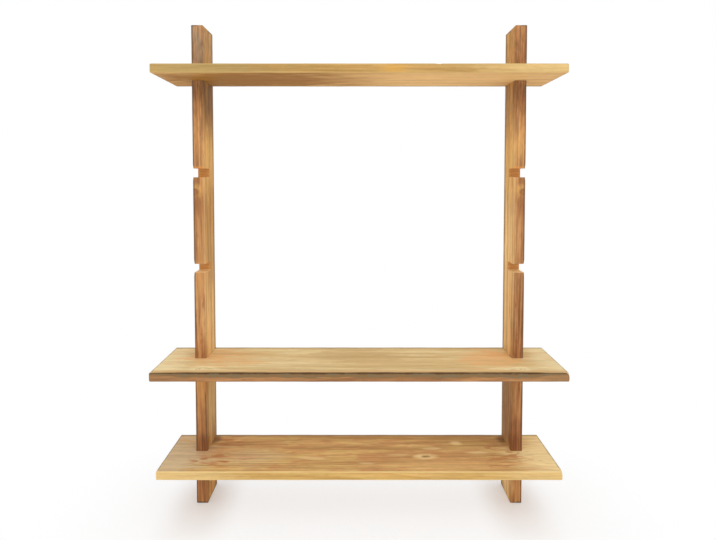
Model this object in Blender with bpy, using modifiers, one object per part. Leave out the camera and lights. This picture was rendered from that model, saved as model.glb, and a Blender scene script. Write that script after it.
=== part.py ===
"""Modular shelving unit: two notched uprights carry three boards that slide in from the front.

Every joint is a cross lap. An upright is notched from its front edge and a board from its back edge,
so each passes halfway through the other, and no screw or bracket is needed. An upright has more
notches than the unit has boards, and a board can move to any free pair of notches.

Metres, with +Z up and +X to the right as seen from the front, which faces -Y.
The origin lies on the floor, below the middle of the unit.
"""

import math

import bmesh
import bpy
from mathutils import Matrix, Vector

# Uprights
UPRIGHT_THICKNESS = 0.030  # across the unit
NOTCH_DEPTH = 0.060  # from the front edge to the back wall of a notch
HEEL_DEPTH = 0.060  # timber left standing behind a notch
NOTCH_COUNT = 5
NOTCH_PITCH = 0.248  # from one notch floor to the next
UPRIGHT_END = 0.118  # timber beyond the lowest and the highest notch
BAY_WIDTH = 0.800  # between the inner faces of the uprights
UPRIGHT_ARRIS = 0.002  # rounding of the planed edges

# Boards
BOARD_THICKNESS = 0.022
BOARD_REACH = 0.130  # how far a board stands out in front of the uprights
BOARD_OVERHANG = 0.070  # from an upright's outer face to the end of the board
BOARD_ARRIS = 0.003
BOTTOM_NOTCH = 0  # the notch that each board sits in, counted from the floor
MIDDLE_NOTCH = 1
TOP_NOTCH = 4

# Middle board, which keeps the waney edge of the log along its top front edge
WANEY_REACH = 0.140
WANEY_OVERHANG = 0.080
WANE_DROP = 0.012  # height of the natural surface, down from the top face
WANE_SETBACK = 0.006  # how far the top face stops behind the sawn front
WANE_AT_ENDS = 0.35  # share of the wane that is left at the ends of the board
WANE_SWING = 0.0006  # how far the edge wanders to either side
WANE_WAVELENGTH = 0.170
WANE_RIPPLE = 0.0005  # a finer wander on top of it
RIPPLE_WAVELENGTH = 0.061
WANE_STATIONS = 56  # sections along the board

# Fits
SEAT_GAP = 0.0003  # board to notch floor and to the notch's back wall
SLIDE_GAP = 0.0005  # board to notch ceiling, and upright to each side of a slot
OVERCUT = 0.010  # how far a cutter runs past the face it enters
BAY_FACE_MARGIN = 0.002  # from an upright to the clear face of a board between the uprights

# Facets
ARRIS_STEPS = 3
WANE_STEPS = 4

# Sizes that follow
UPRIGHT_DEPTH = NOTCH_DEPTH + HEEL_DEPTH
NOTCH_HEIGHT = BOARD_THICKNESS + SEAT_GAP + SLIDE_GAP
UPRIGHT_HEIGHT = 2 * UPRIGHT_END + (NOTCH_COUNT - 1) * NOTCH_PITCH + NOTCH_HEIGHT
UPRIGHT_X = BAY_WIDTH / 2 + UPRIGHT_THICKNESS / 2
OUTER_SPAN = BAY_WIDTH + 2 * UPRIGHT_THICKNESS
BACK_Y = (UPRIGHT_DEPTH + max(BOARD_REACH, WANEY_REACH)) / 2
UPRIGHT_FRONT_Y = BACK_Y - UPRIGHT_DEPTH
NOTCH_WALL_Y = UPRIGHT_FRONT_Y + NOTCH_DEPTH
SLOT_END_Y = NOTCH_WALL_Y - SEAT_GAP

# Linear colours
UPRIGHT_COLOUR = (0.47, 0.25, 0.10)
TOP_SHELF_COLOUR = (0.62, 0.39, 0.15)
MIDDLE_SHELF_COLOUR = (0.65, 0.44, 0.21)
BOTTOM_SHELF_COLOUR = (0.55, 0.31, 0.12)


def clear_scene():
    """Remove whatever the scene holds, so that only the unit is left."""
    for old_object in list(bpy.data.objects):
        bpy.data.objects.remove(old_object)


def new_collection(name):
    """A collection linked to the scene."""
    collection = bpy.data.collections.new(name)
    bpy.context.scene.collection.children.link(collection)
    return collection


def wood_material(name, colour):
    """Oiled softwood of one colour."""
    material = bpy.data.materials.new(name)
    material.use_nodes = True
    shader = material.node_tree.nodes["Principled BSDF"]
    shader.inputs["Base Color"].default_value = (*colour, 1.0)
    shader.inputs["Roughness"].default_value = 0.55
    shader.inputs["Metallic"].default_value = 0.0
    return material


def object_from_bmesh(name, shape, place, collection):
    """Put a finished bmesh into a new object at a place."""
    mesh = bpy.data.meshes.new(name)
    shape.to_mesh(mesh)
    shape.free()
    new_object = bpy.data.objects.new(name, mesh)
    new_object.location = place
    collection.objects.link(new_object)
    return new_object


def add_box(shape, low, high):
    """Add one box to a bmesh, from its lowest to its highest corner."""
    size = high - low
    placing = Matrix.Translation((low + high) / 2) @ Matrix.Diagonal((*size, 1.0))
    bmesh.ops.create_cube(shape, size=1.0, matrix=placing)


def ease_arrises(piece, radius):
    """Round every edge of a planed piece, before any joint is cut in it."""
    easing = piece.modifiers.new("eased_arrises", "BEVEL")
    easing.width = radius
    easing.segments = ARRIS_STEPS
    easing.limit_method = "ANGLE"


def cut_away(piece, cutter):
    """Saw a cutter's boxes out of a piece, which leaves the edges of the cut sharp."""
    sawing = piece.modifiers.new("sawn_joints", "BOOLEAN")
    sawing.operation = "DIFFERENCE"
    sawing.solver = "EXACT"
    sawing.object = cutter
    cutter.hide_render = True
    cutter.display_type = "WIRE"


def notch_floor(level):
    """Height of a notch's floor above the ground."""
    return UPRIGHT_END + level * NOTCH_PITCH


def make_upright(name, side, parts, cutters):
    """A planed plank on end, notched from the front at every level; its origin is at its foot."""
    foot = Vector((side * UPRIGHT_X, BACK_Y - UPRIGHT_DEPTH / 2, 0.0))
    half_plan = Vector((UPRIGHT_THICKNESS / 2, UPRIGHT_DEPTH / 2, 0.0))
    plank = bmesh.new()
    add_box(plank, -half_plan, half_plan + Vector((0.0, 0.0, UPRIGHT_HEIGHT)))
    upright = object_from_bmesh(name, plank, foot, parts)
    ease_arrises(upright, UPRIGHT_ARRIS)

    notches = bmesh.new()
    for level in range(NOTCH_COUNT):
        low = Vector((-half_plan.x - OVERCUT, -half_plan.y - OVERCUT, notch_floor(level)))
        high = Vector((half_plan.x + OVERCUT, NOTCH_DEPTH - half_plan.y, notch_floor(level) + NOTCH_HEIGHT))
        add_box(notches, low, high)
    cut_away(upright, object_from_bmesh(name + "_notch_cutter", notches, foot, cutters))
    upright.data.materials.append(wood_material(name + "_wood", UPRIGHT_COLOUR))
    return upright


def board_centre(reach, level):
    """Middle of a board that lies in a notch, a seat gap above the notch's floor."""
    depth = UPRIGHT_DEPTH + reach
    return Vector((0.0, BACK_Y - depth / 2, notch_floor(level) + SEAT_GAP + BOARD_THICKNESS / 2))


def cut_slots(board, cutters):
    """Saw the two slots that take the uprights, from the back edge of a board."""
    slots = bmesh.new()
    half_width = UPRIGHT_THICKNESS / 2 + SLIDE_GAP
    half_height = BOARD_THICKNESS / 2 + OVERCUT
    for side in (-1, 1):
        low = Vector((side * UPRIGHT_X - half_width, SLOT_END_Y - board.location.y, -half_height))
        high = Vector((side * UPRIGHT_X + half_width, BACK_Y + OVERCUT - board.location.y, half_height))
        add_box(slots, low, high)
    cut_away(board, object_from_bmesh(board.name + "_slot_cutter", slots, board.location, cutters))


def divide_at_uprights(plank):
    """Divide a board just inside the uprights, so that the stretch things stand on is a face of its own."""
    for side in (-1, 1):
        place = Vector((side * (BAY_WIDTH / 2 - BAY_FACE_MARGIN), 0.0, 0.0))
        everything = plank.verts[:] + plank.edges[:] + plank.faces[:]
        bmesh.ops.bisect_plane(plank, geom=everything, plane_co=place, plane_no=Vector((1.0, 0.0, 0.0)))


def make_board(name, level, colour, parts, cutters):
    """A straight planed board with eased arrises, slotted from the back."""
    half = Vector((OUTER_SPAN / 2 + BOARD_OVERHANG, (UPRIGHT_DEPTH + BOARD_REACH) / 2, BOARD_THICKNESS / 2))
    plank = bmesh.new()
    add_box(plank, -half, half)
    divide_at_uprights(plank)
    board = object_from_bmesh(name, plank, board_centre(BOARD_REACH, level), parts)
    ease_arrises(board, BOARD_ARRIS)
    cut_slots(board, cutters)
    board.data.materials.append(wood_material(name + "_wood", colour))
    return board


def arc(centre_y, centre_z, radius_y, radius_z, first_degrees, steps):
    """Points of a quarter ellipse, turning from +Y towards +Z."""
    points = []
    for step in range(steps + 1):
        angle = math.radians(first_degrees + 90.0 * step / steps)
        points.append((centre_y + radius_y * math.cos(angle), centre_z + radius_z * math.sin(angle)))
    return points


def wane_at(x, half_length):
    """Setback and drop of the wane at a place along the board.

    Both are whole between the uprights and shrink smoothly towards the ends of the board. The setback
    wanders by two sine waves, and the drop follows it in proportion.
    """
    ramp = (half_length - abs(x)) / (half_length - BAY_WIDTH / 2)
    ramp = min(1.0, ramp)
    share = WANE_AT_ENDS + (1.0 - WANE_AT_ENDS) * ramp * ramp * (3.0 - 2.0 * ramp)
    wander = WANE_SWING * math.sin(math.tau * x / WANE_WAVELENGTH)
    wander += WANE_RIPPLE * math.sin(math.tau * x / RIPPLE_WAVELENGTH + 1.0)
    growth = share * (1.0 + wander / WANE_SETBACK)
    return WANE_SETBACK * growth, WANE_DROP * growth


def waney_section(x, inset, half):
    """Section of the waney board at x as (y, z) points, drawn in by an inset near the board's ends."""
    setback, drop = wane_at(x, half.x)
    radius = BOARD_ARRIS - inset
    inner_y = half.y - BOARD_ARRIS
    inner_z = half.z - BOARD_ARRIS
    section = arc(inner_y, -inner_z, radius, radius, 270.0, ARRIS_STEPS)
    section += arc(inner_y, inner_z, radius, radius, 0.0, ARRIS_STEPS)
    section += arc(inset + setback - half.y, half.z - inset - drop, setback, drop, 90.0, WANE_STEPS)
    section += arc(-inner_y, -inner_z, radius, radius, 180.0, ARRIS_STEPS)
    return section


def waney_stations(half_length):
    """Places along the board with the inset of each, so that both ends round off."""
    body_half = half_length - BOARD_ARRIS
    stations = []
    for index in range(WANE_STATIONS + 1):
        stations.append((body_half * (2.0 * index / WANE_STATIONS - 1.0), 0.0))
    for step in range(1, ARRIS_STEPS):
        angle = math.pi / 2 * step / ARRIS_STEPS
        inset = BOARD_ARRIS * (1.0 - math.cos(angle))
        reach = body_half + BOARD_ARRIS * math.sin(angle) / math.sin(math.pi / 2 * (1 - 1 / ARRIS_STEPS))
        stations.insert(0, (-reach, inset))
        stations.append((reach, inset))
    return stations


def loft(sections_along_x):
    """Closed skin over sections of equal point count, each given as its x and its (y, z) points."""
    skin = bmesh.new()
    rings = []
    for x, section in sections_along_x:
        rings.append([skin.verts.new((x, y, z)) for y, z in section])
    count = len(rings[0])
    for ring, next_ring in zip(rings, rings[1:]):
        for index in range(count):
            after = (index + 1) % count
            skin.faces.new((ring[index], next_ring[index], next_ring[after], ring[after]))
    skin.faces.new(rings[0])
    skin.faces.new(rings[-1])
    bmesh.ops.recalc_face_normals(skin, faces=skin.faces)
    return skin


def make_waney_board(name, level, colour, parts, cutters):
    """The middle board: a loft along its length whose top front edge is the log's own, slotted from the back."""
    half = Vector((OUTER_SPAN / 2 + WANEY_OVERHANG, (UPRIGHT_DEPTH + WANEY_REACH) / 2, BOARD_THICKNESS / 2))
    sections = [(x, waney_section(x, inset, half)) for x, inset in waney_stations(half.x)]
    board = object_from_bmesh(name, loft(sections), board_centre(WANEY_REACH, level), parts)
    cut_slots(board, cutters)
    board.data.materials.append(wood_material(name + "_wood", colour))
    return board


def main():
    """Build the unit: the uprights stand still, and each board slides forward out of its notches."""
    clear_scene()
    parts = new_collection("modular_shelving_unit")
    cutters = new_collection("cutters")
    unit = bpy.data.objects.new("unit_origin", None)
    parts.objects.link(unit)

    pieces = [
        make_upright("left_upright", -1, parts, cutters),
        make_upright("right_upright", 1, parts, cutters),
        make_board("bottom_shelf", BOTTOM_NOTCH, BOTTOM_SHELF_COLOUR, parts, cutters),
        make_waney_board("middle_shelf", MIDDLE_NOTCH, MIDDLE_SHELF_COLOUR, parts, cutters),
        make_board("top_shelf", TOP_NOTCH, TOP_SHELF_COLOUR, parts, cutters),
    ]
    for piece in pieces:
        piece.parent = unit


main()
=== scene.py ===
"""Looks of the modular shelving unit: stained and oiled softwood boards on a plain pale floor.

Metres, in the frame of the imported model: +X to the right, -Y to the front, +Z up.
"""

import math
from collections import namedtuple

import bmesh
import bpy
import numpy as np
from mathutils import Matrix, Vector


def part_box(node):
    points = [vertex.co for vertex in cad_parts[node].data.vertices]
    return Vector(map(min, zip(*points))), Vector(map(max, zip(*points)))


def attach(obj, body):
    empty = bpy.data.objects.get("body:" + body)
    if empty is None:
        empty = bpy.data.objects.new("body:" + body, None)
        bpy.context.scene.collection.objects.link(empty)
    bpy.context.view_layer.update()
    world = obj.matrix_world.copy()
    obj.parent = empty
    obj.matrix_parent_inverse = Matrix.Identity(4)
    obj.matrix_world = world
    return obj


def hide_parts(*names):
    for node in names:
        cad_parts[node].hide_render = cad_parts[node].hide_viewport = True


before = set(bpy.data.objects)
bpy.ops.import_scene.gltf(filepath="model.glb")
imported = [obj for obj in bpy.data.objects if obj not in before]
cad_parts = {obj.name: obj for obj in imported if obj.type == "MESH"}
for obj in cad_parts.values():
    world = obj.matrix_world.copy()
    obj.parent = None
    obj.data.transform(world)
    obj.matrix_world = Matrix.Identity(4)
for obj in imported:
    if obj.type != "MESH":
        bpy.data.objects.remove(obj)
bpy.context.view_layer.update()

# Joints, as sawn
NOTCH_COUNT = 5
FREE_LEVELS = (2, 3)
NOTCH_DEPTH = 0.060
SEAT_GAP = 0.0003
SLIDE_GAP = 0.0005
OVERCUT = 0.010

# How a plank lies: which of along, depth and thickness goes on x, y and z
LYING = [0, 1, 2]
STANDING = [2, 1, 0]

# Eased edges, and how much they vary along a plank
UPRIGHT_ARRIS = 0.002
BOARD_ARRIS = 0.003
ARRIS_UNEVENNESS = 0.25
SLOW_ARRIS_WAVE = 0.037
QUICK_ARRIS_WAVE = 0.0113

# Waney edge of the middle board
WANE_DROP = 0.012
WANE_SETBACK = 0.006
WANE_AT_ENDS = 0.35
WANE_SWING = 0.0006
WANE_WAVELENGTH = 0.170
WANE_RIPPLE = 0.0005
RIPPLE_WAVELENGTH = 0.061

# Bark side of the wane: the share of its radius that the hollows take, and the lengths that they repeat over
BARK_RELIEF = 0.10
BARK_RIDGE = 0.0031
BARK_BEND = 0.019
BARK_SWELL = 0.0125

# Knocks
KNOCK_REACH = 0.005
UPPER_LIP_KNOCK = 0.0024
LOWER_LIP_KNOCK = 0.0014
LIP_MARGIN = 0.001
CORNER_KNOCK = {"reach": 0.006, "depth": 0.0035, "direction": (-0.6, 0.3, -0.7)}
ARRIS_KNOCK = {"reach": KNOCK_REACH, "depth": 0.0022, "direction": (0.0, 0.6, -0.8)}
ARRIS_KNOCK_PLACE = 0.191

# Facets
ARC_STEPS = 5
WANE_STEPS = 14
STATION_SPACING = 0.005
WANEY_STATION_SPACING = 0.0025
EDGE_SPACING = 0.002
FACE_SPACING = 0.004
FEWEST_EDGE_CUTS = 5
SHARP_ANGLE = math.radians(35.0)

# Camera, set for an image 716 pixels wide
IMAGE_WIDTH = 716
SENSOR_WIDTH = 36.0
FOCAL_PIXELS = 697.0
AXIS_ROWS_ABOVE_MIDDLE = 53.5
CAMERA_PLACE = (-0.003, -1.795, 0.855)
CAMERA_PITCH = math.radians(3.0)

# Floor, and the share of its own shade that gives way to white next to the unit, where its shadow falls
FLOOR_RADIUS = 6.0
FLOOR_SIDES = 96
FLOOR_LEVEL = -0.0005
WHITE_NEAR_UNIT = 0.74
WHITE_AT_FEET = 0.35
WHITE = (1.0, 1.0, 1.0)


def box_of(node):
    """Lowest and highest corner of a CAD node, as arrays."""
    low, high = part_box(node)
    return np.array(low), np.array(high)


def centre_of(node):
    """Middle of a CAD node's box."""
    low, high = box_of(node)
    return (low + high) / 2


def half_of(node):
    """Half the size of a CAD node's box."""
    low, high = box_of(node)
    return (high - low) / 2


# Where the joints are

UPRIGHT_LOW, UPRIGHT_HIGH = box_of("left_upright")
NOTCH_WALL_Y = UPRIGHT_LOW[1] + NOTCH_DEPTH
LOWEST_NOTCH = box_of("bottom_shelf")[0][2] - SEAT_GAP
NOTCH_PITCH = box_of("middle_shelf")[0][2] - box_of("bottom_shelf")[0][2]
BOARD_HALF_THICKNESS = half_of("bottom_shelf")[2]
NOTCH_HEIGHT = 2 * BOARD_HALF_THICKNESS + SEAT_GAP + SLIDE_GAP
BAY_HALF = -UPRIGHT_HIGH[0]


def notch_boxes(node):
    """Space that is sawn out of an upright's front edge at each level."""
    low, high = box_of(node)
    boxes = []
    for level in range(NOTCH_COUNT):
        floor = LOWEST_NOTCH + level * NOTCH_PITCH
        first = np.array([low[0] - OVERCUT, low[1] - OVERCUT, floor])
        last = np.array([high[0] + OVERCUT, NOTCH_WALL_Y, floor + NOTCH_HEIGHT])
        boxes.append((first, last))
    return boxes


def slot_boxes(node):
    """Space that is sawn out of a board's back edge for each upright."""
    low, high = box_of(node)
    boxes = []
    for upright in ("left_upright", "right_upright"):
        near, far = box_of(upright)
        first = np.array([near[0] - SLIDE_GAP, NOTCH_WALL_Y - SEAT_GAP, low[2] - OVERCUT])
        last = np.array([far[0] + SLIDE_GAP, high[1] + OVERCUT, high[2] + OVERCUT])
        boxes.append((first, last))
    return boxes


# Shapes of planks


def corner_arc(centre, radii, first_degrees, steps):
    """Quarter ellipse at every station: centre + radii * (cos, sin), over 90 degrees from a first angle."""
    turn = np.radians(np.linspace(first_degrees, first_degrees + 90.0, steps + 1))
    depth = centre[0] + radii[0] * np.cos(turn)
    thickness = centre[1] + radii[1] * np.sin(turn)
    return np.stack([depth, thickness], axis=-1)


def straight_run(start, end, cuts):
    """Points between two corners, closer together near both: start + (end - start) * (1 - cos) / 2."""
    share = 0.5 - 0.5 * np.cos(np.linspace(0.0, np.pi, cuts + 2))[1:-1]
    return start[:, None, :] + (end - start)[:, None, :] * share[None, :, None]


def section_rings(half_depth, half_thickness, arris, front_radii, front_scale, rounding):
    """Section of a plank at every station, as (depth, thickness) points round from the lower back corner.

    Three corners are quarter circles of radius arris. The upper front one is a quarter ellipse with radii
    of its own, scaled point by point. Rounding scales every radius: 1 on the body, down to 0 at the ends.
    """
    inner_depth = half_depth - arris
    inner_thickness = half_thickness - arris
    arris_radii = (arris * rounding, arris * rounding)
    setback, drop = front_radii
    front_centre = (setback - half_depth, half_thickness - drop)
    scaled_radii = (setback * rounding * front_scale, drop * rounding * front_scale)
    corners = [
        corner_arc((inner_depth, -inner_thickness), arris_radii, 270.0, ARC_STEPS),
        corner_arc((inner_depth, inner_thickness), arris_radii, 0.0, ARC_STEPS),
        corner_arc(front_centre, scaled_radii, 90.0, WANE_STEPS),
        corner_arc((-inner_depth, -inner_thickness), arris_radii, 180.0, ARC_STEPS),
    ]
    edge_cuts = max(FEWEST_EDGE_CUTS, int(half_thickness / EDGE_SPACING))
    face_cuts = int(half_depth / FACE_SPACING)
    cuts_after = (edge_cuts, face_cuts, edge_cuts, face_cuts)
    rings = []
    for corner, following, cuts in zip(corners, corners[1:] + corners[:1], cuts_after):
        rings.append(corner)
        rings.append(straight_run(corner[:, -1], following[:, 0], cuts))
    return np.concatenate(rings, axis=1)


def stations_along(half_length, arris, spacing):
    """Places along a plank, and the rounding left at each: 1 on the body, a cosine over the end arrises."""
    body_half = half_length - arris
    count = int(round(2 * body_half / spacing))
    body = np.linspace(-body_half, body_half, count + 1)
    turn = np.radians(np.linspace(0.0, 90.0, ARC_STEPS + 1))[1:]
    ends = body_half + arris * np.sin(turn)
    places = np.concatenate([-ends[::-1], body, ends])
    rounding = np.concatenate([np.cos(turn)[::-1], np.ones(count + 1), np.cos(turn)])
    return places[:, None], rounding[:, None]


def uneven_arris(places, arris, phase):
    """Arris radius along a plank: arris * (1 + unevenness * a slow and a quick sine)."""
    slow = np.sin(places / SLOW_ARRIS_WAVE + phase)
    quick = np.sin(places / QUICK_ARRIS_WAVE + 2.3 * phase)
    return arris * (1.0 + ARRIS_UNEVENNESS * (0.6 * slow + 0.4 * quick))


def wane_radii(places, half_length):
    """Setback and drop of the waney edge along the middle board.

    Both are whole between the uprights and ease off to a share at the ends. The setback wanders by two
    sines, and the drop follows it in proportion.
    """
    ramp = np.clip((half_length - np.abs(places)) / (half_length - BAY_HALF), 0.0, 1.0)
    share = WANE_AT_ENDS + (1.0 - WANE_AT_ENDS) * ramp * ramp * (3.0 - 2.0 * ramp)
    wander = WANE_SWING * np.sin(2 * np.pi * places / WANE_WAVELENGTH)
    wander = wander + WANE_RIPPLE * np.sin(2 * np.pi * places / RIPPLE_WAVELENGTH + 1.0)
    growth = share * (1.0 + wander / WANE_SETBACK)
    return WANE_SETBACK * growth, WANE_DROP * growth


def bark_scale(places):
    """Scale of the wane's radii, point by point: 1 less crossed sines that fade out at both rims."""
    turn = np.linspace(0.0, np.pi, WANE_STEPS + 1)[None, :]
    ridges = 0.5 + 0.5 * np.sin(places / BARK_RIDGE + 2.2 * np.sin(places / BARK_BEND) + 1.7 * turn)
    swells = 0.5 + 0.5 * np.sin(places / BARK_SWELL - 1.3 * turn + 0.8)
    return 1.0 - BARK_RELIEF * np.sin(turn) * (0.55 * ridges + 0.45 * swells)


def plank_grid(node, lie, arris, phase, waney=False):
    """A plank: a section of depth by thickness, carried along its length.

    The upper front corner of a waney one is the log's own, uneven surface.
    """
    half_length, half_depth, half_thickness = half_of(node)[lie]
    spacing = WANEY_STATION_SPACING if waney else STATION_SPACING
    places, rounding = stations_along(half_length, arris, spacing)
    radius = uneven_arris(places, arris, phase)
    front_radii = wane_radii(places, half_length) if waney else (radius, radius)
    front_scale = bark_scale(places) if waney else 1.0
    rings = section_rings(half_depth, half_thickness, radius, front_radii, front_scale, rounding)
    along = np.broadcast_to(places, rings.shape[:2])
    return np.stack([along, rings[..., 0], rings[..., 1]], axis=-1)[..., lie] + centre_of(node)


def pressed(grid, place, reach, depth, direction):
    """The grid with a dent: each point moves by direction * depth * exp(-(distance / reach) squared)."""
    distance = np.linalg.norm(grid - np.array(place), axis=-1)
    push = depth * np.exp(-((distance / reach) ** 2))
    return grid + push[..., None] * np.array(direction)


def knocked_upright_grid(node, phase):
    """An upright whose outer front arris is knocked in at the lips of its free notches."""
    low, high = box_of(node)
    grid = plank_grid(node, STANDING, UPRIGHT_ARRIS, phase)
    inwards = -np.sign(low[0] + high[0])
    outer = low[0] if inwards > 0 else high[0]
    direction = (0.6 * inwards, 0.8, 0.0)
    for level in FREE_LEVELS:
        floor = LOWEST_NOTCH + level * NOTCH_PITCH
        upper_lip = floor + NOTCH_HEIGHT + LIP_MARGIN
        lower_lip = floor - LIP_MARGIN
        for height, depth in ((upper_lip, UPPER_LIP_KNOCK), (lower_lip, LOWER_LIP_KNOCK)):
            grid = pressed(grid, (outer, low[1], height), KNOCK_REACH, depth, direction)
    return grid


# Meshes


def skin_mesh(name, grid):
    """Closed mesh over a grid of points (stations, ring, xyz): quads between rings and a face at each end."""
    stations, count, _ = grid.shape
    index = np.arange(stations * count).reshape(stations, count)
    after = np.roll(index, -1, axis=1)
    quads = np.stack([index[:-1], after[:-1], after[1:], index[1:]], axis=-1).reshape(-1, 4)
    ends = [index[0].tolist(), index[-1].tolist()]
    mesh = bpy.data.meshes.new(name)
    mesh.from_pydata(grid.reshape(-1, 3).tolist(), [], quads.tolist() + ends)

    work = bmesh.new()
    work.from_mesh(mesh)
    bmesh.ops.remove_doubles(work, verts=work.verts, dist=1e-6)
    bmesh.ops.recalc_face_normals(work, faces=work.faces)
    bmesh.ops.triangulate(work, faces=work.faces)
    work.to_mesh(mesh)
    work.free()
    return mesh


def boxes_mesh(name, boxes):
    """One mesh of several boxes, each low + (high - low) * unit corner."""
    unit = np.array([[x, y, z] for x in (0, 1) for y in (0, 1) for z in (0, 1)], float)
    sides = np.array([[0, 1, 3, 2], [4, 6, 7, 5], [0, 4, 5, 1], [2, 3, 7, 6], [0, 2, 6, 4], [1, 5, 7, 3]])
    points = np.concatenate([low + (high - low) * unit for low, high in boxes])
    faces = np.concatenate([sides + len(unit) * number for number in range(len(boxes))])
    mesh = bpy.data.meshes.new(name)
    mesh.from_pydata(points.tolist(), [], faces.tolist())
    return mesh


def new_piece(name, mesh):
    """An object at the origin that holds a mesh."""
    piece = bpy.data.objects.new(name, mesh)
    bpy.context.scene.collection.objects.link(piece)
    return piece


def saw_out(piece, boxes):
    """Cut boxes out of a piece, and mark the faces that the saw left with the attribute sawn."""
    cutter = new_piece(piece.name + "_cutter", boxes_mesh(piece.name + "_cutter", boxes))
    sawing = piece.modifiers.new("sawn_joints", "BOOLEAN")
    sawing.operation = "DIFFERENCE"
    sawing.solver = "EXACT"
    sawing.object = cutter
    depsgraph = bpy.context.evaluated_depsgraph_get()
    cut_mesh = bpy.data.meshes.new_from_object(piece.evaluated_get(depsgraph))
    piece.modifiers.remove(sawing)
    piece.data = cut_mesh
    bpy.data.objects.remove(cutter)

    centres = np.zeros(3 * len(cut_mesh.polygons))
    cut_mesh.polygons.foreach_get("center", centres)
    centres = centres.reshape(-1, 3)
    sawn = np.zeros(len(centres), bool)
    slack = SEAT_GAP / 10
    for low, high in boxes:
        sawn |= ((centres > low - slack) & (centres < high + slack)).all(axis=1)
    mark = cut_mesh.attributes.new("sawn", "FLOAT", "FACE")
    mark.data.foreach_set("value", sawn.astype(np.float32))


def mark_wane(piece, node):
    """Mark the waney edge with the attribute wane: 0 off it, and 0.5 to 1 from its lower rim to its upper."""
    mesh = piece.data
    points = np.zeros(3 * len(mesh.vertices))
    mesh.vertices.foreach_get("co", points)
    points = points.reshape(-1, 3) - centre_of(node)
    half = half_of(node)
    setback, drop = wane_radii(points[:, 0], half[0])
    back = (setback - half[1] - points[:, 1]) / setback
    up = (points[:, 2] - half[2] + drop) / drop
    slack = 1e-3
    on_wane = (back > -slack) & (up > -slack)
    height = np.clip(np.arctan2(up, back) / (np.pi / 2), 0.0, 1.0)
    mark = mesh.attributes.new("wane", "FLOAT", "POINT")
    mark.data.foreach_set("value", np.where(on_wane, 0.5 + 0.5 * height, 0.0).astype(np.float32))


# Shader values


def add_node(tree, kind, inputs, **settings):
    """Add a node, set its properties, then link or set its inputs. Plain colours get full alpha."""
    node = tree.nodes.new(kind)
    for name, setting in settings.items():
        setattr(node, name, setting)
    for key, given in inputs.items():
        socket = node.inputs[key]
        if isinstance(given, Value):
            tree.links.new(given.socket, socket)
        else:
            socket.default_value = (*given, 1.0) if socket.type == "RGBA" else given
    return node


def is_vector(given):
    """Whether a value or a constant has three parts."""
    if isinstance(given, Value):
        return given.socket.type != "VALUE"
    return isinstance(given, tuple)


def arithmetic(operation, *given):
    """The value of arithmetic on numbers, or on vectors where one is given."""
    kind = "ShaderNodeVectorMath" if any(map(is_vector, given)) else "ShaderNodeMath"
    owner = next(value for value in given if isinstance(value, Value))
    return owner.put(kind, dict(enumerate(given)), operation=operation)


class Value:
    """A number, vector or colour that a shader node puts out. Arithmetic on it adds nodes to its tree."""

    def __init__(self, socket):
        self.socket = socket

    def put(self, kind, inputs, output=0, **settings):
        """What a further node in the same tree puts out."""
        return Value(add_node(self.socket.id_data, kind, inputs, **settings).outputs[output])

    def put_all(self, kind, *inputs, **settings):
        """All that a further node puts out, with this value as its first input."""
        given = dict(enumerate((self, *inputs)))
        return [Value(socket) for socket in add_node(self.socket.id_data, kind, given, **settings).outputs]

    def __add__(self, other):
        return arithmetic("ADD", self, other)

    def __sub__(self, other):
        return arithmetic("SUBTRACT", self, other)

    def __rsub__(self, other):
        return arithmetic("SUBTRACT", other, self)

    def __mul__(self, other):
        return arithmetic("MULTIPLY", self, other)

    def __truediv__(self, other):
        return arithmetic("DIVIDE", self, other)

    def __mod__(self, other):
        return arithmetic("FLOORED_MODULO", self, other)

    def __abs__(self):
        return arithmetic("ABSOLUTE", self)

    def __lt__(self, other):
        return arithmetic("LESS_THAN", self, other)

    def __gt__(self, other):
        return arithmetic("GREATER_THAN", self, other)

    def step(self, low, high):
        """0 below low, 1 above high, and a smooth step between."""
        limits = {"Value": self, "From Min": low, "From Max": high}
        return self.put("ShaderNodeMapRange", limits, interpolation_type="SMOOTHSTEP")

    def fall(self, low, high):
        """1 below low, 0 above high, and a smooth step between."""
        return 1.0 - self.step(low, high)

    def blend(self, first, second):
        """A colour: the first where this is 0, and the second where it is 1."""
        return self.put("ShaderNodeMix", {0: self, 6: first, 7: second}, 2, data_type="RGBA")

    def noise(self, stretch, detail, output="Fac", **more):
        """Noise at this place, scaled along each axis."""
        inputs = {"Vector": self * stretch, "Scale": 1.0, "Detail": detail, **more}
        return self.put("ShaderNodeTexNoise", inputs, output)

    def length(self):
        """Length of this vector."""
        return self.put("ShaderNodeVectorMath", {0: self}, "Value", operation="LENGTH")

    def parts(self):
        """The three numbers of this vector."""
        return self.put_all("ShaderNodeSeparateXYZ")

    def through(self, group, *inputs):
        """The masks that a group puts out, given this place and its other inputs."""
        return self.put_all("ShaderNodeGroup", *inputs, node_tree=group)


def shader_group(name, work, vectors, numbers, masks):
    """A shader node group with named inputs, and masks that a function works out from them."""
    tree = bpy.data.node_groups.new(name, "ShaderNodeTree")
    for label in (*vectors, *numbers):
        kind = "NodeSocketVector" if label in vectors else "NodeSocketFloat"
        tree.interface.new_socket(label, in_out="INPUT", socket_type=kind)
    for label in masks:
        tree.interface.new_socket(label, in_out="OUTPUT", socket_type="NodeSocketFloat")
    given = add_node(tree, "NodeGroupInput", {}).outputs
    made = work(*[Value(given[label]) for label in (*vectors, *numbers)])
    add_node(tree, "NodeGroupOutput", dict(zip(masks, made)))
    return tree


# Shared effects


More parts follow.
